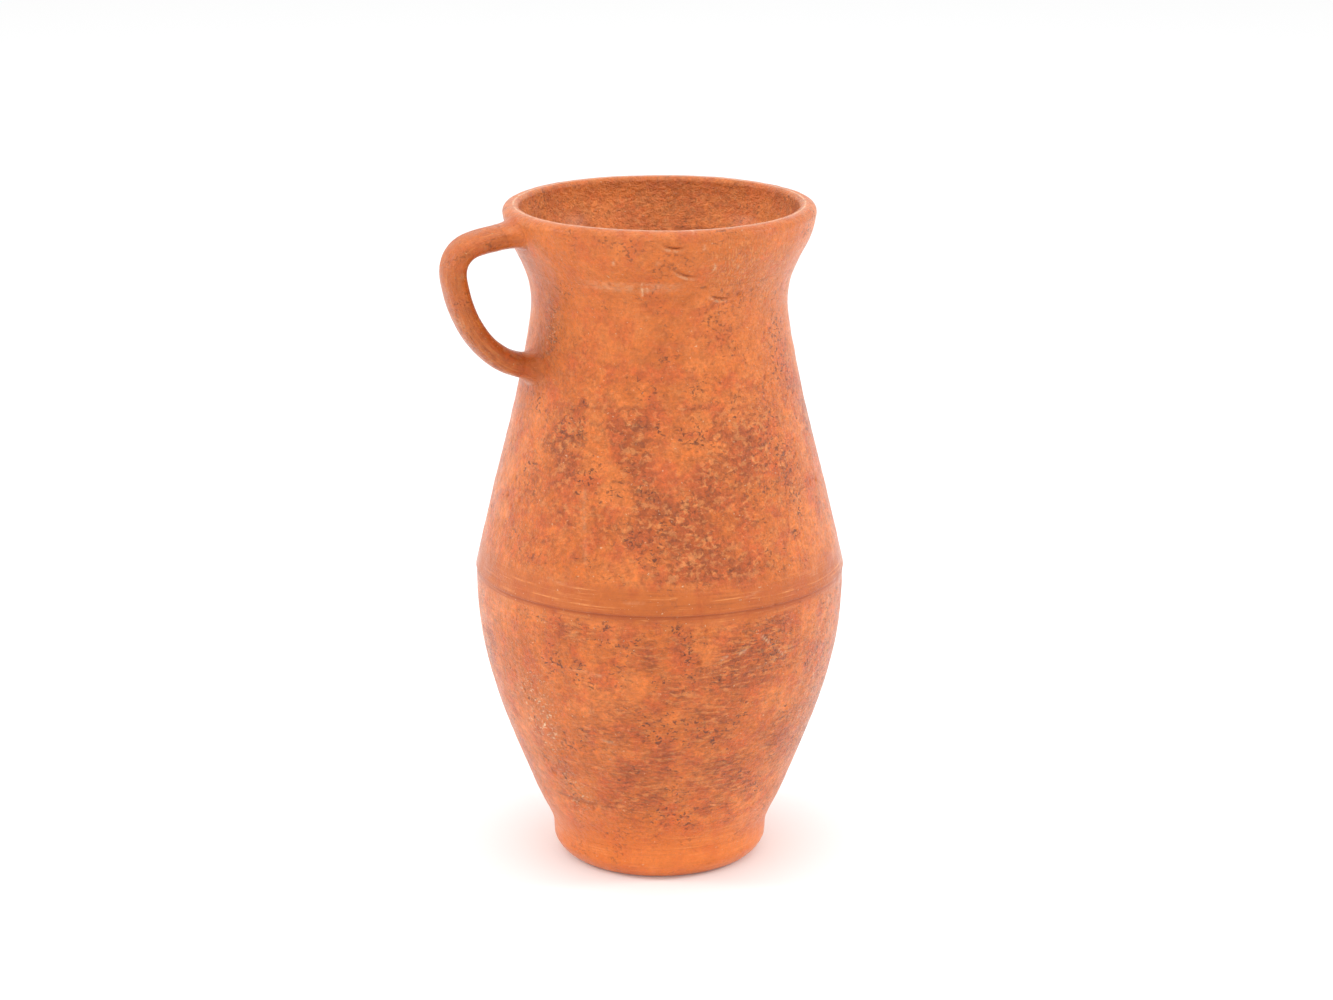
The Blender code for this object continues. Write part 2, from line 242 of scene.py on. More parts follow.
def noise(points, size, seed, octaves=1):
    """Smooth noise from about -1 to 1. size, in millimetres, is one length or one for each axis."""
    total = np.zeros(points.shape[:-1])
    share = 1.0
    whole = 0.0
    for octave in range(octaves):
        at = points / (np.asarray(size, float) * MM) * 2**octave + 17.3 * octave
        cell = np.floor(at).astype(np.int64)
        t = at - cell
        t = t * t * (3 - 2 * t)
        value = np.zeros(points.shape[:-1])
        for corner in range(8):
            offset = np.array([corner & 1, corner >> 1 & 1, corner >> 2 & 1])
            weight = np.where(offset, t, 1 - t).prod(axis=-1)
            value += weight * lattice(cell + offset, seed + 31 * octave)
        total += share * value
        whole += share
        share *= 0.5
    return total / whole


# ---------------------------------------------------------------- outlines read from the CAD


def vertices(node):
    """The node's points, each once."""
    flat = np.zeros(len(cad[node].data.vertices) * 3, np.float32)
    cad[node].data.vertices.foreach_get("co", flat)
    return np.unique(np.round(flat.reshape(-1, 3).astype(float), 6), axis=0)


def hit_distance(origin, direction):
    """How far a ray runs before it meets the CAD's wall."""
    found = [math.inf]
    for node in WALL_NODES:
        hit, place, _, _ = cad[node].ray_cast(Vector(origin), Vector(direction))
        if hit:
            found.append((place - Vector(origin)).length)
    return min(found)


def cad_skin(names, outside, low, high):
    """Radius as a function of height, through the CAD's rings on its outer or inner skin."""
    hair = 0.02 * MM
    found = {}
    for x, y, z in np.concatenate([vertices(name) for name in names]):
        if abs(y) > hair or x < 0 or not low - hair < z < high + hair:
            continue
        if outside:
            clear = hit_distance((x + hair, 0, z), (1, 0, 0)) == math.inf
        else:
            clear = hit_distance((x - hair, 0, z), (-1, 0, 0)) > x
        if clear:
            found[round(z / hair)] = (z, x)
    heights, radii = np.array(sorted(found.values())).T
    curve = natural_spline(heights, radii)
    return lambda z: curve(z)[..., 0]


LOWER_PIECES = ("foot", "lower_body")
UPPER_PIECES = ("upper_body", "rim_collar")
foot_points = vertices("foot")
foot_radii = np.hypot(foot_points[:, 0], foot_points[:, 1])
BASE_RADIUS = foot_radii[foot_points[:, 2] < 0.01 * MM].max()
FLOOR = foot_points[np.argmin(foot_radii), 2]
LIP_START = HEIGHT - LIP_OUTER_ROUND
lower_outer = cad_skin(LOWER_PIECES, True, FOOT_EDGE_HEIGHT, SEAM_BOTTOM)
upper_outer = cad_skin(UPPER_PIECES, True, BELLY_JOINT, LIP_START)
lower_inner = cad_skin(LOWER_PIECES, False, FLOOR + FLOOR_CORNER, BELLY_JOINT + LAP)
upper_inner = cad_skin(UPPER_PIECES, False, BELLY_JOINT + LAP, LIP_START - LIP_INNER_ROUND)


def outer_radius(z):
    """The wall's outer radius at each height above the foot's edge, over the lip's round too."""
    z = np.asarray(z, float)
    skin = np.where(z < BELLY_JOINT, lower_outer(z), upper_outer(np.minimum(z, LIP_START)))
    above = np.clip(z - LIP_START, 0, LIP_OUTER_ROUND)
    return skin - LIP_OUTER_ROUND + np.sqrt(LIP_OUTER_ROUND**2 - above**2)


# ---------------------------------------------------------------- relief and masks of the clay


def polar(points):
    """Angle in degrees, radius in metres and height in millimetres."""
    angle = np.degrees(np.arctan2(points[..., 1], points[..., 0]))
    return angle, np.hypot(points[..., 0], points[..., 1]), points[..., 2] / MM


def turned_by(angle, start):
    """The angle from start, from -180 to 180 degrees."""
    return (angle - start + 180) % 360 - 180


def across(points, start):
    """Arc length in millimetres from an angle, at each point's own radius."""
    angle, radius, _ = polar(points)
    return np.radians(turned_by(angle, start)) * radius / MM


def scattered_pits(count, seed):
    """Small pits all round the vessel: angle, height, radius, depth."""
    draw = np.random.default_rng(seed)
    angle = draw.uniform(-180, 180, count)
    height = draw.uniform(22, 345, count)
    radius = draw.uniform(1.1, 1.7, count)
    depth = draw.uniform(0.15, 0.5, count)
    return list(zip(angle, height, radius, depth))


def scattered_patches(count, seed):
    """Mottled patches over the side from -40 round to 180 degrees."""
    draw = np.random.default_rng(seed)
    angle = draw.uniform(-40, 180, count)
    upper = draw.random(count) < 0.55
    height = np.where(upper, draw.uniform(182, 250, count), draw.uniform(45, 146, count))
    width = draw.uniform(9, 17, count)
    tall = draw.uniform(7, 14, count)
    strength = draw.uniform(0.5, 1.0, count)
    return list(zip(angle, height, width, tall, strength))


ALL_PITS = PITS + scattered_pits(SCATTERED_PITS, seed=11)
ALL_PATCHES = PATCHES + scattered_patches(HIDDEN_SIDE_PATCHES, seed=5)


def field_mask(points, fields):
    """Soft patches where small marks are common."""
    angle, _, z = polar(points)
    mask = np.zeros(z.shape)
    for start, height, width, tall, strength in fields:
        u = turned_by(angle, start) / width
        v = (z - height) / tall
        mask = np.maximum(mask, strength * np.exp(-(u * u + v * v) ** 2))
    return mask


def wiped_mask(points):
    """Where the potter's hand or a wet cloth smoothed the clay."""
    _, _, z = polar(points)
    wander = 2.5 * noise(points, (45, 45, 12), 41)
    above = z - BELLY_JOINT / MM + wander
    belly = smoothstep(-8, -2, above) * (1 - smoothstep(BELLY_BAND - 6, BELLY_BAND + 5, above))
    foot = 0.6 - 0.6 * smoothstep(FOOT_BAND - FOOT_RISE, FOOT_BAND + FOOT_RISE, z + 2 * wander)
    collar = 0.16 * smoothstep(265, 285, z + wander)
    return np.maximum(np.maximum(belly, foot), collar)


def slit_place(points, slit):
    """Place along a slit, from -1 to 1, and height above its curved line in millimetres."""
    start, height, length, tilt = slit
    _, _, z = polar(points)
    u = across(points, start) / (length / 2)
    v = z - height - math.tan(math.radians(tilt)) * u * length / 2 - 0.9 * u * u
    return u, v


def dents(points):
    """Depth in millimetres of slits, pits and creases, how much painted shade each gets inside, and the
    painted shadow under the belly's edge.
    """
    angle, _, z = polar(points)
    depth = np.zeros(z.shape)
    dark = np.zeros(z.shape)
    for slit in SLITS:
        u, v = slit_place(points, slit)
        along = np.exp(-np.abs(u) ** 3)
        lip = 0.5 * np.exp(-(((v + 1.4) / 0.8) ** 2))
        depth += along * (np.exp(-((v / 0.6) ** 2)) - lip)
        # painted shadow in the slit, under its upper edge
        dark = np.maximum(dark, 0.9 * along * np.exp(-(((v - 0.15) / 0.5) ** 2)))
    for start, height, radius, deep in ALL_PITS:
        u = across(points, start)
        near = (u**2 + (z - height) ** 2) / radius**2
        depth += deep * (np.exp(-near) - 0.25 * np.exp(-((np.sqrt(near) - 1.6) ** 2) / 0.2))
        # painted shade in the pit, darker as it is deeper
        dark = np.maximum(dark, min(1, deep * 1.3) * np.exp(-2.2 * near))
    # painted shadow under the belly's edge
    seam = np.exp(-(((z - BELLY_JOINT / MM) / SEAM_SHADOW) ** 2))
    dark = np.maximum(dark, seam * (0.30 + 0.10 * noise(points, 20, 52)))
    wobble = 1.4 * noise(points, 12, 51, octaves=2)
    for start, end, first, last, rise, strength in CREASES:
        share = turned_by(angle, start) / (end - start)
        v = z - first - (last - first) * share - 4 * rise * share * (1 - share) - wobble
        inside = smoothstep(0, 0.15, share) * smoothstep(0, 0.15, 1 - share)
        depth += inside * 0.5 * strength * np.exp(-((v / 1.2) ** 2))
        # painted shade along its groove
        dark = np.maximum(dark, strength * inside * np.exp(-((v / 0.9) ** 2)))
    return depth, dark


def relief(points, inside):
    """How far the clay stands off the turned outline, in metres, and how much painted shade it gets
    there.
    """
    smooth = wiped_mask(points)
    lumps = 0.30 * noise(points, 75, 1) + 0.12 * noise(points, 24, 2)
    rings = 0.10 * noise(points, (160, 160, 6.5), 3) + 0.05 * noise(points, (80, 80, 2.6), 4)
    grain = 0.17 * noise(points, 6.5, 5, octaves=3)
    depth, dark = dents(points)
    outside = 1 - inside
    height = lumps + rings * (1 + 2 * inside) + grain * (1 - 0.75 * smooth) - depth * outside
    return height * MM, dark * outside


def line_mask(points, lines):
    """Soft straight marks: start angle and height, end angle and height, half-width, strength."""
    _, radius, z = polar(points)
    mask = np.zeros(z.shape)
    for start, low, end, high, width, strength in lines:
        run_u = math.radians(turned_by(end, start)) * radius / MM
        run_v = high - low
        u = across(points, start)
        v = z - low
        length = np.hypot(run_u, run_v) + MM
        along = np.clip((u * run_u + v * run_v) / length**2, 0, 1)
        off = np.hypot(u - along * run_u, v - along * run_v)
        mask = np.maximum(mask, strength * np.exp(-((off / width) ** 2)))
    return mask


def mottled_mask(points):
    """Where the brown and tan mottling is dense."""
    _, _, z = polar(points)
    warp_u = 5 * noise(points, 16, 21, octaves=2)
    warp_v = 4 * noise(points, 14, 22, octaves=2)
    total = np.zeros(z.shape)
    for start, height, width, tall, strength in ALL_PATCHES:
        u = (across(points, start) + warp_u) / width
        v = (z - height + warp_v) / tall
        total = total + strength * np.exp(-(u * u + v * v) * 1.1)
    patchy = 0.30 * noise(points, 10, 23, octaves=3)
    broken = smoothstep(-0.3, 0.2, noise(points, 26, 24))
    edge = np.exp(-(((z - MOTTLED_TOP + warp_v * 0.5) / 1.2) ** 2)) * broken
    mask = np.clip(0.95 * total + patchy + 0.06, 0, 1.1) + 0.55 * edge
    clear = line_mask(points, CLEAR_STREAKS) * (0.8 + 0.3 * noise(points, 7, 26, octaves=2))
    return np.clip(mask * (1 - wiped_mask(points)) * (1 - clear), 0, 1)


def pale_mask(points):
    """Pale lines, painted highlights on the slits' lower edges and along the lip's inner edge, and a pale
    band round the neck.
    """
    angle, radius, z = polar(points)
    mask = line_mask(points, PALE_LINES)
    # painted highlight along each slit's lower edge
    for slit in SLITS:
        u, v = slit_place(points, slit)
        share = np.exp(-np.abs(u + 0.2) ** 3)
        mask = np.maximum(mask, 0.45 * share * np.exp(-(((v + 1.3) / 0.6) ** 2)))
    first, last, low, high = NECK_BAND
    band = smoothstep(low - 1.5, low + 1.5, z) * (1 - smoothstep(high - 1, high + 1, z))
    share = turned_by(angle, first) / (last - first)
    band = band * smoothstep(0, 0.25, share) * smoothstep(0, 0.3, 1 - share)
    pale_band = 0.26 * band * (0.6 + 0.4 * noise(points, 5, 31, octaves=2))
    # painted highlight along the lip's inner edge
    edge = np.exp(-(((radius / MM - LIP_HIGHLIGHT) / 0.5) ** 2)) * smoothstep(348.5, 349.8, z)
    return np.clip(mask + pale_band + edge * (0.9 + 0.3 * noise(points, 9, 32, octaves=2)), 0, 1.3)


# ---------------------------------------------------------------- meshes


def ring_faces(rings, columns, closed):
    first = np.arange(rings if closed else rings - 1)[:, None] * columns
    second = (first + columns) % (rings * columns)
    i = np.arange(columns)
    j = (i + 1) % columns
    quads = np.stack([first + i, first + j, second + j, second + i], axis=-1)
    return quads.reshape(-1, 4).tolist()


def make_object(name, points, faces, masks, grain, mat):
    """An object whose masks and grain coordinates are on its points, with its faces out."""
    start = points[[f[0] for f in faces]]
    middle = points[[f[1] for f in faces]]
    end = points[[f[2] for f in faces]]
    last = points[[f[-1] for f in faces]]
    volume = np.einsum("ij,ij->", start, np.cross(middle, end) + np.cross(end, last))
    if volume < 0:
        faces = [face[::-1] for face in faces]
    mesh = bpy.data.meshes.new(name)
    mesh.from_pydata(points.tolist(), [], faces)
    for key in MASKS:
        layer = mesh.attributes.new(key, "FLOAT", "POINT")
        value = np.broadcast_to(masks.get(key, 0.0), len(points))
        layer.data.foreach_set("value", value.astype(np.float32))
    layer = mesh.attributes.new("grain", "FLOAT_VECTOR", "POINT")
    layer.data.foreach_set("vector", (grain / MM).astype(np.float32).ravel())
    mesh.shade_smooth()
    mesh.set_sharp_from_angle(angle=math.radians(SHARP_ANGLE))
    mesh.materials.append(mat)
    obj = bpy.data.objects.new(name, mesh)
    bpy.context.scene.collection.objects.link(obj)
    return obj


def rows(radius, start, end, spacing, share=1.0, inside=0.0):
    """Rows of one skin between two heights: radius, height, share of the relief, inside or not."""
    count = max(2, int(round(abs(end - start) / spacing)) + 1)
    z = np.linspace(start, end, count)
    return [(r, h, share, inside) for r, h in zip(radius(z), z)]


def hidden(*points):
    """Rows in a joint, which take no relief."""
    return [(r, z, 0.0, 0.0) for r, z in points]


def round_corner(centre, radius, start, end, steps, inside=0.0):
    turn = np.radians(np.linspace(start, end, steps + 1))
    return [
        (centre[0] + radius * math.cos(a), centre[1] + radius * math.sin(a), 1.0, inside)
        for a in turn
    ]


def turned(name, profile, columns, mat):
    """Turns rows about the Z axis, and presses the relief into them. A first and last row on the
    axis close a disc, and any other profile closes on itself."""
    disc = profile[0][0] == 0
    r, z, share, inside = (value[:, None] for value in np.array(profile).T)
    row = np.arange(len(profile))
    shown = share[:, 0] > 0
    ahead = np.where(np.roll(shown, -1), (row + 1) % len(row), row)
    behind = np.where(np.roll(shown, 1), (row - 1) % len(row), row)
    if disc:
        ahead[-1], behind[0] = row[-1], row[0]
    rise = z[ahead] - z[behind]
    spread = r[ahead] - r[behind]
    tangent = np.hypot(rise, spread) + 1e-9
    normal_r = rise / tangent
    normal_z = -spread / tangent
    angle = np.linspace(-math.pi, math.pi, columns, endpoint=False)[None, :]
    base = np.stack([r * np.cos(angle), r * np.sin(angle), z + 0 * angle], axis=-1)
    height, dark = relief(base, inside)
    height = height * share
    points = base.copy()
    points[..., 0] += height * normal_r * np.cos(angle)
    points[..., 1] += height * normal_r * np.sin(angle)
    points[..., 2] = np.maximum(points[..., 2] + height * normal_z, 0)
    outside = 1 - inside
    stained = 0.5 + 0.5 * noise(base, 24, 25, octaves=2)
    masks = {
        "mottled": mottled_mask(base) * outside + stained * inside,
        "pale": pale_mask(base) * outside,
        "painted_shade": dark,
        "wiped": wiped_mask(base) * outside,
        "inside": inside + 0 * angle,
        "glint_field": field_mask(base, GLINT_FIELDS) * outside,
        "scratched": field_mask(base, SCRATCHED) * outside,
        "pitted": field_mask(base, PITTED) * outside,
    }
    masks = {key: value.ravel() for key, value in masks.items()}
    faces = ring_faces(len(profile), columns, closed=not disc)
    return make_object(name, points.reshape(-1, 3), faces, masks, base.reshape(-1, 3), mat)


def middle(z, outer, inner):
    """The radius halfway through the wall."""
    return float(outer(z) + inner(z)) / 2


def make_foot(mat):
    """Flat underside with a shallow dip left by the cutting wire, round edge, floor inside."""
    t = np.linspace(0, math.pi / 2, 13)
    widest = float(lower_outer(FOOT_EDGE_HEIGHT))
    radii = BASE_RADIUS + (widest - BASE_RADIUS) * np.sin(t) ** (2 / FOOT_EDGE_POWER)
    heights = FOOT_EDGE_HEIGHT * (1 - np.cos(t) ** (2 / FOOT_EDGE_POWER))
    edge = [(r, z, 0.35 + 0.65 * z / FOOT_EDGE_HEIGHT, 0.0) for r, z in zip(radii, heights)]
    under = [
        (r, WIRE_HOLLOW * (1 - smoothstep(0.6, 0.97, r / BASE_RADIUS)), 0.3, 0.0)
        for r in np.linspace(0, BASE_RADIUS, 26)[:-1]
    ]
    top = FOOT_JOINT - JOINT_LINE
    band = rows(lower_outer, FOOT_EDGE_HEIGHT, top, OUTER_ROW)[1:]
    split = middle(top, lower_outer, lower_inner) - 0.2 * MM
    corner_top = FLOOR + FLOOR_CORNER
    corner = float(lower_inner(corner_top)) - FLOOR_CORNER
    bend = round_corner((corner, corner_top), FLOOR_CORNER, 0, -90, 8, inside=1.0)
    bottom = [(r, FLOOR, 1.0, 1.0) for r in np.linspace(corner, 0, 24)[1:]]
    joint = hidden((split, top), (split, top + LAP))
    wall = rows(lower_inner, top + LAP, corner_top, INNER_ROW, inside=1.0)
    profile = under + edge + band + joint + wall + bend[1:] + bottom
    return turned("foot", profile, BODY_COLUMNS, mat)


def make_lower_body(mat):
    """The thrown lower half, with a rebate over the foot and a tongue at the belly."""
    bottom = FOOT_JOINT + JOINT_LINE / 2
    top = SEAM_BOTTOM - 0.3 * MM
    tongue_top = BELLY_JOINT + LAP - 0.3 * MM
    split = middle(top, lower_outer, lower_inner)
    rebate = middle(bottom, lower_outer, lower_inner)
    profile = rows(lower_outer, bottom, top, OUTER_ROW)
    profile += hidden((split, top), (split, tongue_top))
    profile += rows(lower_inner, tongue_top, bottom + LAP, INNER_ROW, inside=1.0)
    profile += hidden((rebate, bottom + LAP), (rebate, bottom))
    return turned("lower_body", profile, BODY_COLUMNS, mat)


def make_upper_body(mat):
    """The thrown upper half, with a rebate at the belly and a tongue at the neck."""
    top = NECK_JOINT - JOINT_LINE
    split = middle(top, upper_outer, upper_inner)
    start = BELLY_JOINT + LAP
    rebate = middle(start, upper_outer, upper_inner)
    low = BELLY_JOINT + EASED_EDGE
    rim = float(upper_outer(low))
    profile = round_corner((rim - EASED_EDGE, low), EASED_EDGE, -90, -10, 5)
    profile += rows(upper_outer, low, FINE_NECK, OUTER_ROW)
    profile += rows(upper_outer, FINE_NECK, top, COLLAR_ROW)[1:]
    profile += hidden((split, top), (split, top + LAP))
    profile += rows(upper_inner, top + LAP, start, INNER_ROW, inside=1.0)
    profile += hidden((rebate, start), (rebate, BELLY_JOINT))
    return turned("upper_body", profile, BODY_COLUMNS, mat)


def make_rim_collar(mat):
    """The flared mouth, with a round on each side of the lip's flat top."""
    bottom = NECK_JOINT + JOINT_LINE / 2
    rebate = middle(bottom, upper_outer, upper_inner)
    outer_centre = float(upper_outer(LIP_START)) - LIP_OUTER_ROUND
    inner_start = LIP_START - LIP_INNER_ROUND
    inner_edge = float(upper_inner(inner_start))
    inner_centre = (inner_edge + LIP_INNER_ROUND, HEIGHT - LIP_INNER_ROUND)
    profile = rows(upper_outer, bottom, LIP_START, COLLAR_ROW)
    profile += round_corner((outer_centre, LIP_START), LIP_OUTER_ROUND, 0, 90, 12)[1:]
    flat = np.linspace(outer_centre, inner_centre[0], 6)[1:-1]
    profile += [(radius, HEIGHT, 1.0, 0.0) for radius in flat]
    profile += round_corner(inner_centre, LIP_INNER_ROUND, 90, 180, 8, inside=0.5)
    profile += rows(upper_inner, inner_start, bottom + LAP, 2 * COLLAR_ROW, inside=1.0)
    profile += hidden((rebate, bottom + LAP), (rebate, bottom))
    return turned("rim_collar", profile, COLLAR_COLUMNS, mat)


def make_belly_slip_seam(mat):
    """The slip in the groove: flush with the lower half, and sunk under the upper half's edge."""
    inner = SEAM_RADIUS - SLIP_DEPTH
    flush = float(lower_outer(SEAM_BOTTOM)) - 0.03 * MM
    t = np.linspace(0, 1, 9)
    heights = SEAM_BOTTOM - 0.32 * MM + t * (BELLY_JOINT - SEAM_BOTTOM + 0.5 * MM)
    sunk = SLIP_SUNK * smoothstep(0.35, 0.85, t)
    face = [(flush - s, z, 1.0, 0.0) for s, z in zip(sunk, heights)]
    profile = face + hidden((inner, SEAM_TOP), (inner, SEAM_BOTTOM))
    return turned("belly_slip_seam", profile, BODY_COLUMNS, mat)


def make_belly_luting_coil(mat):
    """The coil pressed over the joint inside, with a dent from each push of a finger."""
    centre = (COIL_BOTTOM + COIL_TOP) / 2
    half = (COIL_TOP - COIL_BOTTOM) / 2
    t = np.linspace(0, math.pi, 17)
    heights = centre + half * np.cos(t)
    skin = np.where(heights < BELLY_JOINT + LAP, lower_inner(heights), upper_inner(heights))
    front = [(r - COIL_BULGE * math.sin(s), z, 1.0, 1.0) for r, z, s in zip(skin, heights, t)]
    back = hidden((skin[-1] + 0.4 * MM, heights[-1]), (skin[0] + 0.4 * MM, heights[0]))
    coil = turned("belly_luting_coil", front + back, BODY_COLUMNS, mat)
    mesh = coil.data
    co = np.zeros(len(mesh.vertices) * 3)
    mesh.vertices.foreach_get("co", co)
    co = co.reshape(-1, 3)
    angle, radius, z = polar(co)
    push = 0.5 + 0.5 * np.cos(np.radians(angle) * FINGER_PUSHES + 1.2 * noise(co, 30, 61))
    level = 1 - np.clip(np.abs(z - centre / MM) / (half / MM), 0, 1)
    wider = 1 + FINGER_DEPTH * push * level / radius
    co[:, :2] *= wider[:, None]
    mesh.vertices.foreach_set("co", co.ravel())
    mesh.update()
    return coil


# ---------------------------------------------------------------- handle


def strap_centreline():
    """The strap's middle line from the lip to the shoulder as a function of distance along it, its
    length, its half-width and its half-thickness, all from the CAD's rings."""
    points = vertices("handle")
    half_width = points[:, 1].max()
    widest = points[points[:, 1] > half_width - 0.02 * MM]
    line = [widest[np.argmax(widest[:, 2] + widest[:, 0])]]
    left = [p for p in widest if np.linalg.norm(p - line[0]) > MM]
    while left:
        gaps = [np.linalg.norm(p - line[-1]) for p in left]
        line.append(left.pop(int(np.argmin(gaps))))
    line = np.array(line)[:, [0, 2]]
    edge = points[np.abs(points[:, 1]) < 0.02 * MM][:, [0, 2]]
    half_thickness = np.linalg.norm(edge - line[len(line) // 2], axis=1).min()
    distance = np.concatenate([[0], np.cumsum(np.linalg.norm(np.diff(line, axis=0), axis=1))])
    return natural_spline(distance, line), distance[-1], half_width, half_thickness


strap_line, STRAP_LENGTH, STRAP_HALF_WIDTH, STRAP_HALF_THICKNESS = strap_centreline()


def strap_surface(along, grow):
    """Points of the strap's skin at distances along it, grown by a length. Both broadcast to
    (rings, STRAP_POINTS). Also gives the position in the section, for the grain."""
    turn = np.linspace(0, 2 * math.pi, STRAP_POINTS, endpoint=False)[None, :]
    flat = np.sign(np.cos(turn)) * np.abs(np.cos(turn)) ** (2 / STRAP_POWER)
    wide = np.sign(np.sin(turn)) * np.abs(np.sin(turn)) ** (2 / STRAP_POWER)
    along = along + 0 * turn
    step = 0.1 * MM
    centre = strap_line(along)
    ahead = strap_line(along + step) - strap_line(along - step)
    ahead = ahead / np.linalg.norm(ahead, axis=-1, keepdims=True)
    off = (STRAP_HALF_THICKNESS + grow) * flat + 0 * along
    side = (STRAP_HALF_WIDTH + grow) * wide + 0 * along
    x = centre[..., 0] + ahead[..., 1] * off
    z = centre[..., 1] - ahead[..., 0] * off
    grain = np.stack([along, 0 * along, side + 0.8 * off], axis=-1)
    return np.stack([x, side, z], axis=-1), grain


def strap_relief(points):
    lumps = 0.30 * noise(points, 26, 71) + 0.16 * noise(points, 9, 72, octaves=2)
    return (lumps + 0.05 * noise(points, 3.5, 73, octaves=2)) * MM


def strap_masks(points, shade_mask):
    mottled = np.clip(0.45 + 0.6 * noise(points, 14, 74, octaves=3), 0, 1)
    pale = np.clip(0.9 * noise(points, 7, 75, octaves=2) - 0.25, 0, 0.5)
    masks = {"mottled": mottled, "pale": pale, "painted_shade": shade_mask, "wiped": 0.45 + 0 * mottled}
    return {key: value.ravel() for key, value in masks.items()}


def make_handle(mat):
    along = np.linspace(0, STRAP_LENGTH, STRAP_RINGS)[:, None]
    base, grain = strap_surface(along, 0.0)
    points, _ = strap_surface(along, strap_relief(base))
    masks = strap_masks(base, np.zeros(base.shape[:-1]))
    faces = ring_faces(STRAP_RINGS, STRAP_POINTS, closed=False)
    last = (STRAP_RINGS - 1) * STRAP_POINTS
    faces += [list(range(STRAP_POINTS))[::-1], list(range(last, last + STRAP_POINTS))]
    return make_object("handle", points.reshape(-1, 3), faces, masks, grain.reshape(-1, 3), mat)


def make_weld(name, start, outwards, reach, spread, mat):
    """Clay smoothed round one root: a fillet from the strap's skin to the wall's."""
    walk = start + outwards * np.arange(0, 30, 0.05)[:, None] * MM
    skin, _ = strap_surface(walk, 0.0)
    free = np.hypot(skin[..., 0], skin[..., 1]) > outer_radius(skin[..., 2])
    leaves = walk[np.argmax(free, axis=0), 0][None, :]
    t = np.linspace(0, 1, WELD_RINGS)[:, None]
    along = leaves + outwards * reach * (1 - np.sin(t * math.pi / 2))
    ripple = np.sin(np.arange(STRAP_POINTS) * 2 * math.pi / STRAP_POINTS * 3 + 1)
    uneven = 1 + 0.25 * ripple[None, :]
    lift = 0.06 * MM + spread * uneven * (1 - np.cos(t * math.pi / 2))
    base, grain = strap_surface(along, lift)
    points, _ = strap_surface(along, lift + strap_relief(base) * (1 - 0.5 * t))
    radius = np.hypot(points[..., 0], points[..., 1])
    height, _ = relief(points, np.zeros(radius.shape))
    wall = outer_radius(points[..., 2]) + height - 0.12 * MM
    pull = t**4
    shift = (1 + pull * (wall - radius) / radius)[..., None]
    points[..., :2] *= shift
    root = leaves - outwards * WELD_ROOT
    buried, _ = strap_surface(root, spread)
    core, _ = strap_surface(root, -0.8 * MM)
    inner, _ = strap_surface(leaves + outwards * reach * 0.9, -0.8 * MM)
    points = np.concatenate([points, buried, core, inner])
    grain = np.concatenate([grain, buried, core, inner])
    # painted shade in a band round the weld, halfway from the strap to the wall
    fold = 0.55 * np.exp(-(((t - 0.55) / 0.2) ** 2)) + 0 * base[..., 0]
    fold_shade = np.concatenate([fold, np.zeros((3, STRAP_POINTS))])
    fold_shade *= smoothstep(-0.1, 0.6, noise(points, 12, 76))
    masks = strap_masks(points, fold_shade)
    faces = ring_faces(len(points), STRAP_POINTS, closed=True)
    return make_object(name, points.reshape(-1, 3), faces, masks, grain.reshape(-1, 3), mat)


# ---------------------------------------------------------------- material


class Nodes:
    """Short names for the nodes of one material. Lengths are in millimetres."""

    def __init__(self, name):
        self.material = bpy.data.materials.new(name)
        self.material.use_nodes = True
        self.tree = self.material.node_tree
        self.shader = self.tree.nodes["Principled BSDF"]
        place = self.add("ShaderNodeTexCoord").outputs["Object"]
        self.place = self.scaled(place, (1 / MM, 1 / MM, 1 / MM))

    def add(self, kind, inputs=None, **settings):
        made = self.tree.nodes.new(kind)
        for key, value in settings.items():
            setattr(made, key, value)
        for key, value in (inputs or {}).items():
            if isinstance(value, bpy.types.NodeSocket):
                self.tree.links.new(value, made.inputs[key])
            else:
                made.inputs[key].default_value = value
        return made

    def link(self, value, socket):
        self.tree.links.new(value, self.shader.inputs[socket])

    def scaled(self, vector, scale):
        return self.add("ShaderNodeMapping", {"Vector": vector, "Scale": scale}).outputs[0]

    def mask(self, name):
        return self.add("ShaderNodeAttribute", attribute_name=name).outputs["Fac"]

    def noise(self, size, detail=3.0, roughness=0.55, shift=0.0, vector=None, distortion=0.0):
        """Noise from 0 to 1. size is one length, or one for each axis."""
        x, y, z = size if isinstance(size, tuple) else (size, size, size)
        moved = (shift, shift * 1.7, -shift)
        inputs = {"Vector": vector or self.place, "Location": moved, "Scale": (1 / x, 1 / y, 1 / z)}
        at = self.add("ShaderNodeMapping", inputs).outputs[0]
        inputs = {"Vector": at, "Scale": 1.0, "Detail": detail, "Roughness": roughness}
        inputs["Distortion"] = distortion
        return self.add("ShaderNodeTexNoise", inputs).outputs[0]

    def math(self, operation, a, b=0.0, clamp=False):
        made = self.add("ShaderNodeMath", {0: a, 1: b}, operation=operation, use_clamp=clamp)
        return made.outputs[0]

    def times(self, a, b):
        return self.math("MULTIPLY", a, b)

    def plus(self, a, b):
        return self.math("ADD", a, b)

    def ramp(self, value, low, high, to_low=0.0, to_high=1.0):
        """A soft step from to_low at low to to_high at high."""
        inputs = {"Value": value, "From Min": low, "From Max": high, "To Min": to_low, "To Max": to_high}
        return self.add("ShaderNodeMapRange", inputs, interpolation_type="SMOOTHSTEP").outputs[0]

    def mix(self, factor, a, b, blend="MIX"):
        a = (*a, 1) if isinstance(a, tuple) else a
        b = (*b, 1) if isinstance(b, tuple) else b
        made = self.add("ShaderNodeMix", {0: factor, 6: a, 7: b}, data_type="RGBA", blend_type=blend)
        return made.outputs[2]


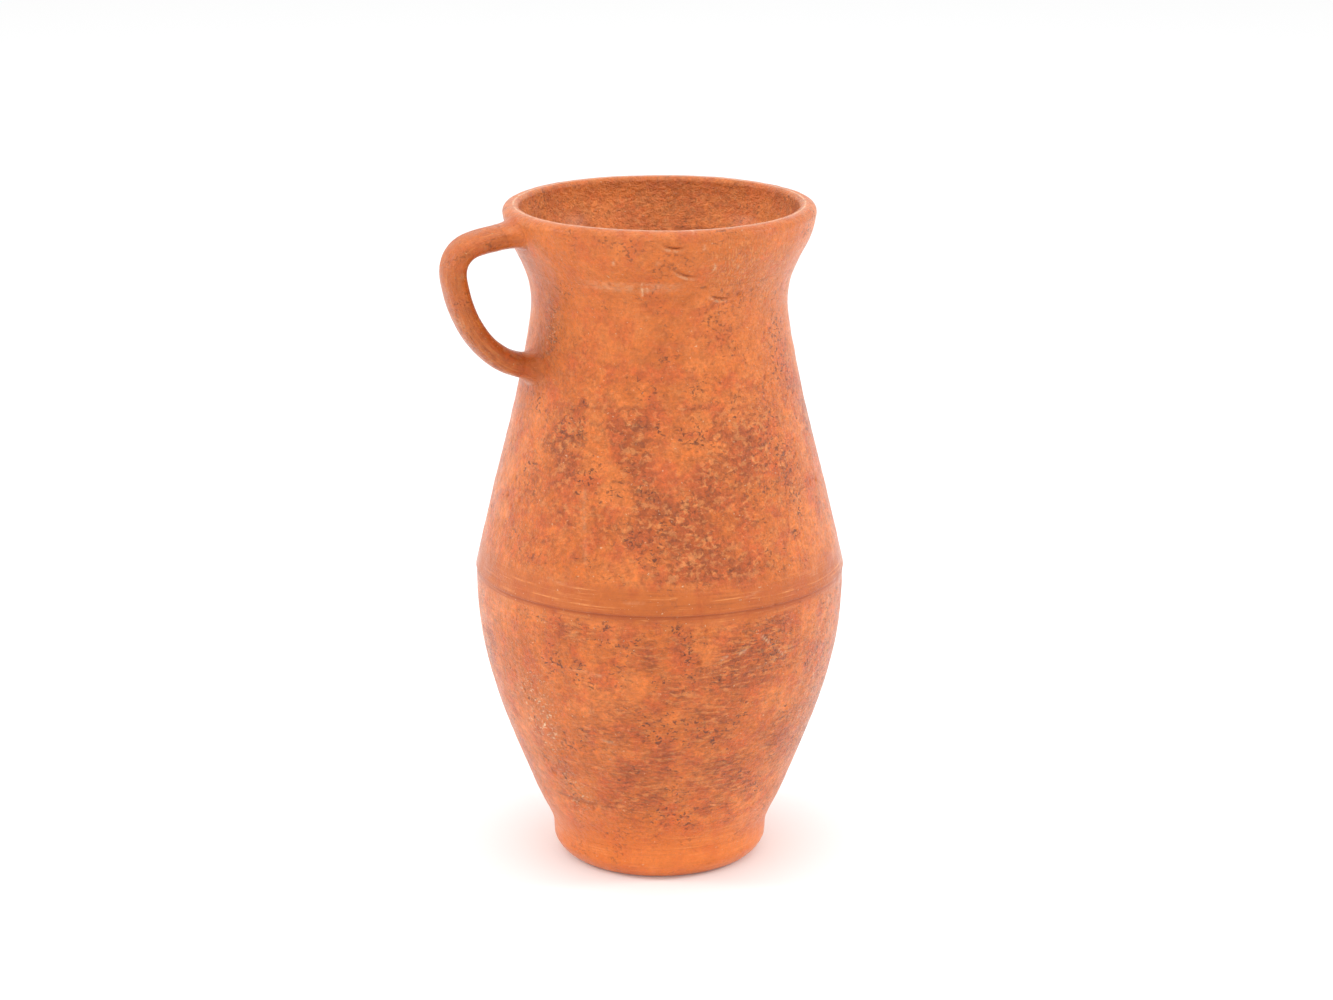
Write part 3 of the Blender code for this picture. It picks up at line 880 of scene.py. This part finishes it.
ORANGE = (0.61, 0.136, 0.014)
LIGHT_ORANGE = (0.74, 0.192, 0.033)
RED = (0.58, 0.098, 0.016)
# DARK_RED is also the painted shade in shallow hollows, and DARK the painted shade deep in hollows and
# pits
DARK_RED = (0.37, 0.068, 0.007)
BROWN = (0.23, 0.050, 0.008)
DARK = (0.11, 0.026, 0.010)
TAN = (0.80, 0.300, 0.085)
# CREAM is also the colour of painted glints and painted highlights
CREAM = (0.98, 0.72, 0.45)
WIPED = (0.37, 0.074, 0.003)
ROUGHNESS = 0.42
NO_TINT = (1.0, 1.0, 1.0)
FLECK = (3.2, 3.2, 2.4)
STRAP_FLECK = (9, 9, 1.8)  # drawn out along the strap


def clay(name, tint=NO_TINT, stroke=FLECK, streaks=1.0, mottling=1.0, bump=1.0, sheen=0.1):
    """Fired clay: orange, patched with brown and tan, streaked by turning, scratched and pitted, with
    painted glints, painted highlights, painted shade in its hollows and painted light at the foot and
    inside. stroke is the size of its flecks in millimetres, and tint multiplies its colour."""
    n = Nodes(name)
    grain = n.add("ShaderNodeAttribute", attribute_name="grain").outputs["Vector"]
    mottled, pale, painted_shade, wiped, inside, glint_field, scratched, pitted = (n.mask(key) for key in MASKS)
    rough = n.math("SUBTRACT", 1.0, n.times(wiped, 0.8))

    # The clay itself
    colour = n.mix(n.ramp(n.noise(38, 3, 0.5, 1), 0.35, 0.65), ORANGE, LIGHT_ORANGE)
    reddish = n.ramp(n.plus(n.noise(13, 5, 0.6, 2), n.times(mottled, 0.10)), 0.46, 0.66, 0.0, 0.8)
    colour = n.mix(reddish, colour, RED)
    cloud = n.ramp(n.noise(6, 4, 0.65, 14), 0.32, 0.68, 0.86, 1.14)
    colour = n.mix(n.plus(n.times(rough, 0.8), 0.15), colour, cloud, "MULTIPLY")

    # Mottling: brown flecks, dark red blotches and tan veins
    dense = n.times(mottled, mottling)
    fine = n.noise(stroke, 3, 0.62, 3, vector=grain, distortion=0.45)
    fleck = n.ramp(n.plus(fine, n.times(dense, 0.04)), 0.50, 0.64)
    amount = n.times(n.plus(n.times(dense, 0.80), 0.14), rough)
    colour = n.mix(n.times(fleck, amount), colour, BROWN)
    blotch = n.noise(9.0, 4, 0.6, 4)
    deep = n.times(n.ramp(blotch, 0.38, 0.60, 0.25, 0.72), dense)
    colour = n.mix(n.times(deep, rough), colour, DARK_RED)
    open_clay = n.math("SUBTRACT", 1.0, n.times(deep, 0.6))
    wide = tuple(1.25 * size for size in stroke)
    other = n.noise(wide, 3, 0.62, 5, vector=grain, distortion=0.5)
    vein = n.ramp(n.plus(other, n.times(dense, 0.02)), 0.51, 0.66)
    vein = n.times(n.times(vein, open_clay), n.plus(n.times(dense, 0.5), 0.22))
    colour = n.mix(n.times(vein, rough), colour, TAN)
    tone = n.ramp(n.noise(2.0, 4, 0.65, 13), 0.32, 0.68, 0.85, 1.15)
    colour = n.mix(n.plus(n.times(rough, 0.6), 0.3), colour, tone, "MULTIPLY")

    # Wiped bands, streaks from the wheel, runs, and scratches lightened as painted glints
    colour = n.mix(n.times(wiped, 0.65), colour, WIPED)
    turning = n.noise((34, 34, 1.1), 4, 0.6, 6, vector=grain)
    lighter = n.ramp(turning, 0.53, 0.68, 0.0, 0.60 * streaks)
    darker = n.ramp(turning, 0.48, 0.30, 0.0, 0.42 * streaks)
    streaked = n.plus(n.times(wiped, n.ramp(blotch, 0.35, 0.6)), 0.05)
    colour = n.mix(n.times(lighter, streaked), colour, TAN)
    colour = n.mix(n.times(darker, streaked), colour, BROWN)
    runs = n.noise((1.6, 1.6, 26), 3, 0.6, 7)
    colour = n.mix(n.ramp(runs, 0.58, 0.80, 0.0, 0.30), colour, LIGHT_ORANGE)
    scratches_and_glints = n.times(scratched, n.ramp(n.noise((1.0, 1.0, 5), 2, 0.5, 16), 0.50, 0.60))
    # painted glints: the scratch marks lightened towards tan
    colour = n.mix(n.times(scratches_and_glints, 0.6), colour, TAN)

    # Specks and painted glints, pits with painted shade, pale marks and painted highlights, painted
    # shade in hollows, then the inside, lightened as painted light and stained
    specks_and_glints = n.times(n.ramp(n.noise((1.9, 1.9, 1.4), 2, 0.5, 8), 0.70, 0.76), 0.45)
    # painted glints: bright dots in the glint fields, among the real specks
    glint_dots = n.ramp(n.noise((2.0, 2.0, 1.3), 2, 0.5, 18, distortion=1.0), 0.60, 0.65)
    specks_and_glints = n.math("MAXIMUM", specks_and_glints, n.times(glint_dots, glint_field))
    colour = n.mix(specks_and_glints, colour, CREAM)
    spread = n.math("MAXIMUM", n.ramp(n.noise(17, 3, 0.6, 15), 0.50, 0.66), pitted)
    sunk = n.ramp(n.noise((2.2, 2.2, 1.7), 2, 0.5, 9, distortion=0.8), 0.585, 0.64)
    holes = n.times(n.times(sunk, n.plus(n.times(spread, 0.8), 0.12)), rough)
    # painted shade in the pits
    colour = n.mix(n.times(holes, 0.85), colour, DARK)
    # pale marks, with painted highlights on the slits' lower edges and the lip's inner edge
    colour = n.mix(n.times(pale, n.ramp(fine, 0.35, 0.6, 0.15, 1.0)), colour, CREAM)
    # painted shade in slits, pits, creases, the welds' folds and under the belly's edge: dark red where
    # faint, near black where deep
    colour = n.mix(n.ramp(painted_shade, 0.0, 0.5, 0.0, 0.7), colour, DARK_RED)
    colour = n.mix(n.ramp(painted_shade, 0.4, 1.0, 0.0, 0.85), colour, DARK)
    # painted light: the inside lightened towards tan
    colour = n.mix(n.times(inside, 0.25), colour, TAN)
    stain = n.ramp(n.noise(26, 4, 0.6, 17), 0.50, 0.62, 0.0, 0.55)
    colour = n.mix(n.times(inside, stain), colour, DARK_RED)

    # Painted light at the foot, for light bounced up from the floor, and inside the jug; lighter at the
    # neck; painted shade on top of the lip
    height = n.add("ShaderNodeSeparateXYZ", {"Vector": n.place}).outputs[2]
    # painted light: lighter towards the foot, for light bounced up from the floor
    colour = n.mix(n.ramp(height, 40, 12, 0.0, 0.3), colour, LIGHT_ORANGE)
    above = n.times(n.ramp(height, 255, 318), n.math("SUBTRACT", 1.0, inside))
    colour = n.mix(n.times(above, 0.24), colour, LIGHT_ORANGE)
    # painted light: up to 1.27 times lighter at the foot, and 1.08 times inside
    lift = n.math("MAXIMUM", n.ramp(height, 55, 12, 1.0, 1.27), n.plus(n.times(inside, 0.08), 1.0))
    lift = n.times(lift, n.plus(n.times(above, 0.03), 1.0))
    # painted shade on top of the lip, against the overhead light
    lift = n.times(lift, n.ramp(height, 343, 349, 1.0, 0.88))
    colour = n.mix(1.0, colour, lift, "MULTIPLY")
    colour = n.mix(1.0, colour, tint, "MULTIPLY")
    n.link(colour, "Base Color")

    shine = n.ramp(n.noise(7, 4, 0.6, 10), 0.3, 0.7, ROUGHNESS - 0.08, ROUGHNESS + 0.12)
    n.link(n.math("SUBTRACT", shine, n.times(wiped, 0.04)), "Roughness")
    n.shader.inputs["Specular IOR Level"].default_value = 0.40
    n.shader.inputs["Coat Weight"].default_value = 0.30
    n.shader.inputs["Coat Roughness"].default_value = 0.22
    n.shader.inputs["Coat IOR"].default_value = 1.25
    n.shader.inputs["Sheen Weight"].default_value = sheen
    n.shader.inputs["Sheen Roughness"].default_value = 0.35
    n.shader.inputs["Sheen Tint"].default_value = (1.0, 0.93, 0.9, 1)

    # Relief too fine for the mesh
    pebbles = n.times(n.noise(2.3, 4, 0.65, 11), rough)
    grit = n.times(n.noise(0.75, 2, 0.6, 12), n.plus(n.times(rough, 0.28), 0.05))
    lines = n.times(turning, n.plus(n.times(wiped, 0.22), 0.04))
    bumps = n.plus(n.plus(pebbles, grit), n.plus(lines, n.times(specks_and_glints, 0.35)))
    bumps = n.math("SUBTRACT", bumps, n.plus(n.times(holes, 0.5), n.times(scratches_and_glints, 0.3)))
    inputs = {"Strength": 1.0, "Distance": 1.9 * MM * bump, "Height": bumps}
    normal = n.add("ShaderNodeBump", inputs)
    n.link(normal.outputs[0], "Normal")
    return n.material


# ---------------------------------------------------------------- the jug

handle_clay = clay(
    "handle_clay",
    tint=(0.80, 0.77, 0.67),
    stroke=STRAP_FLECK,
    streaks=1.6,
    mottling=1.2,
    bump=0.8,
    sheen=0.02,
)
upper_weld_clay = clay("upper_weld_clay", tint=(0.90, 0.87, 0.80), stroke=STRAP_FLECK, bump=0.8)
lower_weld_clay = clay("lower_weld_clay", tint=(0.92, 0.9, 0.82), stroke=STRAP_FLECK, bump=0.8)
PIECES = {
    "foot": (make_foot(clay("foot_clay")), "smoothed_terracotta"),
    "lower_body": (make_lower_body(clay("lower_body_clay", stroke=(5.5, 5.5, 1.5))), "terracotta"),
    "belly_slip_seam": (
        make_belly_slip_seam(clay("slip", tint=(0.90, 0.84, 0.78), mottling=0.3, bump=0.5)),
        "dark_slip",
    ),
    "belly_luting_coil": (make_belly_luting_coil(clay("coil_clay", bump=1.2)), "terracotta"),
    "upper_body": (make_upper_body(clay("upper_body_clay")), "terracotta"),
    "rim_collar": (make_rim_collar(clay("collar_clay", mottling=0.8)), "terracotta"),
    "handle": (make_handle(handle_clay), "handle_terracotta"),
    "upper_handle_weld": (
        make_weld("upper_handle_weld", 0.0, 1, 8 * MM, 2.6 * MM, upper_weld_clay),
        "handle_terracotta",
    ),
    "lower_handle_weld": (
        make_weld("lower_handle_weld", STRAP_LENGTH, -1, 9 * MM, 4.0 * MM, lower_weld_clay),
        "handle_terracotta",
    ),
}
for node, (piece, slot) in PIECES.items():
    piece.name = "clay_" + node
    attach(piece, "root")
    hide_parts(node)

# ---------------------------------------------------------------- camera, floor and light

azimuth = math.radians(CAMERA_AZIMUTH)
camera_data = bpy.data.cameras.new("camera")
camera_data.lens = LENS
camera_data.sensor_width = 36
camera_data.clip_end = 100
camera = bpy.data.objects.new("camera", camera_data)
camera.location = (
    CAMERA_DISTANCE * math.sin(azimuth),
    -CAMERA_DISTANCE * math.cos(azimuth),
    CAMERA_HEIGHT,
)
camera.rotation_euler = (math.radians(90 - CAMERA_PITCH), 0, azimuth + math.radians(CAMERA_YAW))
bpy.context.scene.collection.objects.link(camera)
bpy.context.scene.camera = camera
bpy.context.scene.view_settings.view_transform = "Standard"

floor_material = bpy.data.materials.new("white_floor")
floor_material.use_nodes = True
floor_shader = floor_material.node_tree.nodes["Principled BSDF"]
floor_shader.inputs["Base Color"].default_value = (0.86, 0.86, 0.86, 1)
floor_shader.inputs["Emission Color"].default_value = (1, 1, 1, 1)
floor_shader.inputs["Emission Strength"].default_value = 0.06
floor_shader.inputs["Roughness"].default_value = 1.0
floor_shader.inputs["Specular IOR Level"].default_value = 0.0
floor_mesh = bpy.data.meshes.new("floor")
SIDE = 20  # metres, half the floor's width
floor_mesh.from_pydata(
    [(-SIDE, -SIDE, 0), (SIDE, -SIDE, 0), (SIDE, SIDE, 0), (-SIDE, SIDE, 0)], [], [(0, 1, 2, 3)]
)
floor_mesh.materials.append(floor_material)
floor = bpy.data.objects.new("floor", floor_mesh)
bpy.context.scene.collection.objects.link(floor)

world = bpy.data.worlds.new("studio")
bpy.context.scene.world = world
world.use_nodes = True
world.node_tree.nodes["Background"].inputs["Color"].default_value = (1, 1, 1, 1)
world.node_tree.nodes["Background"].inputs["Strength"].default_value = WORLD_STRENGTH

for name, (around, distance, height, side, power) in LIGHTS.items():
    data = bpy.data.lights.new(name, "AREA")
    data.size = side
    data.energy = power
    lamp = bpy.data.objects.new(name, data)
    angle = azimuth + math.radians(around)
    lamp.location = (distance * math.sin(angle), -distance * math.cos(angle), height)
    lamp.rotation_euler = (Vector((0, 0, 0.2)) - lamp.location).to_track_quat("-Z", "Y").to_euler()
    bpy.context.scene.collection.objects.link(lamp)
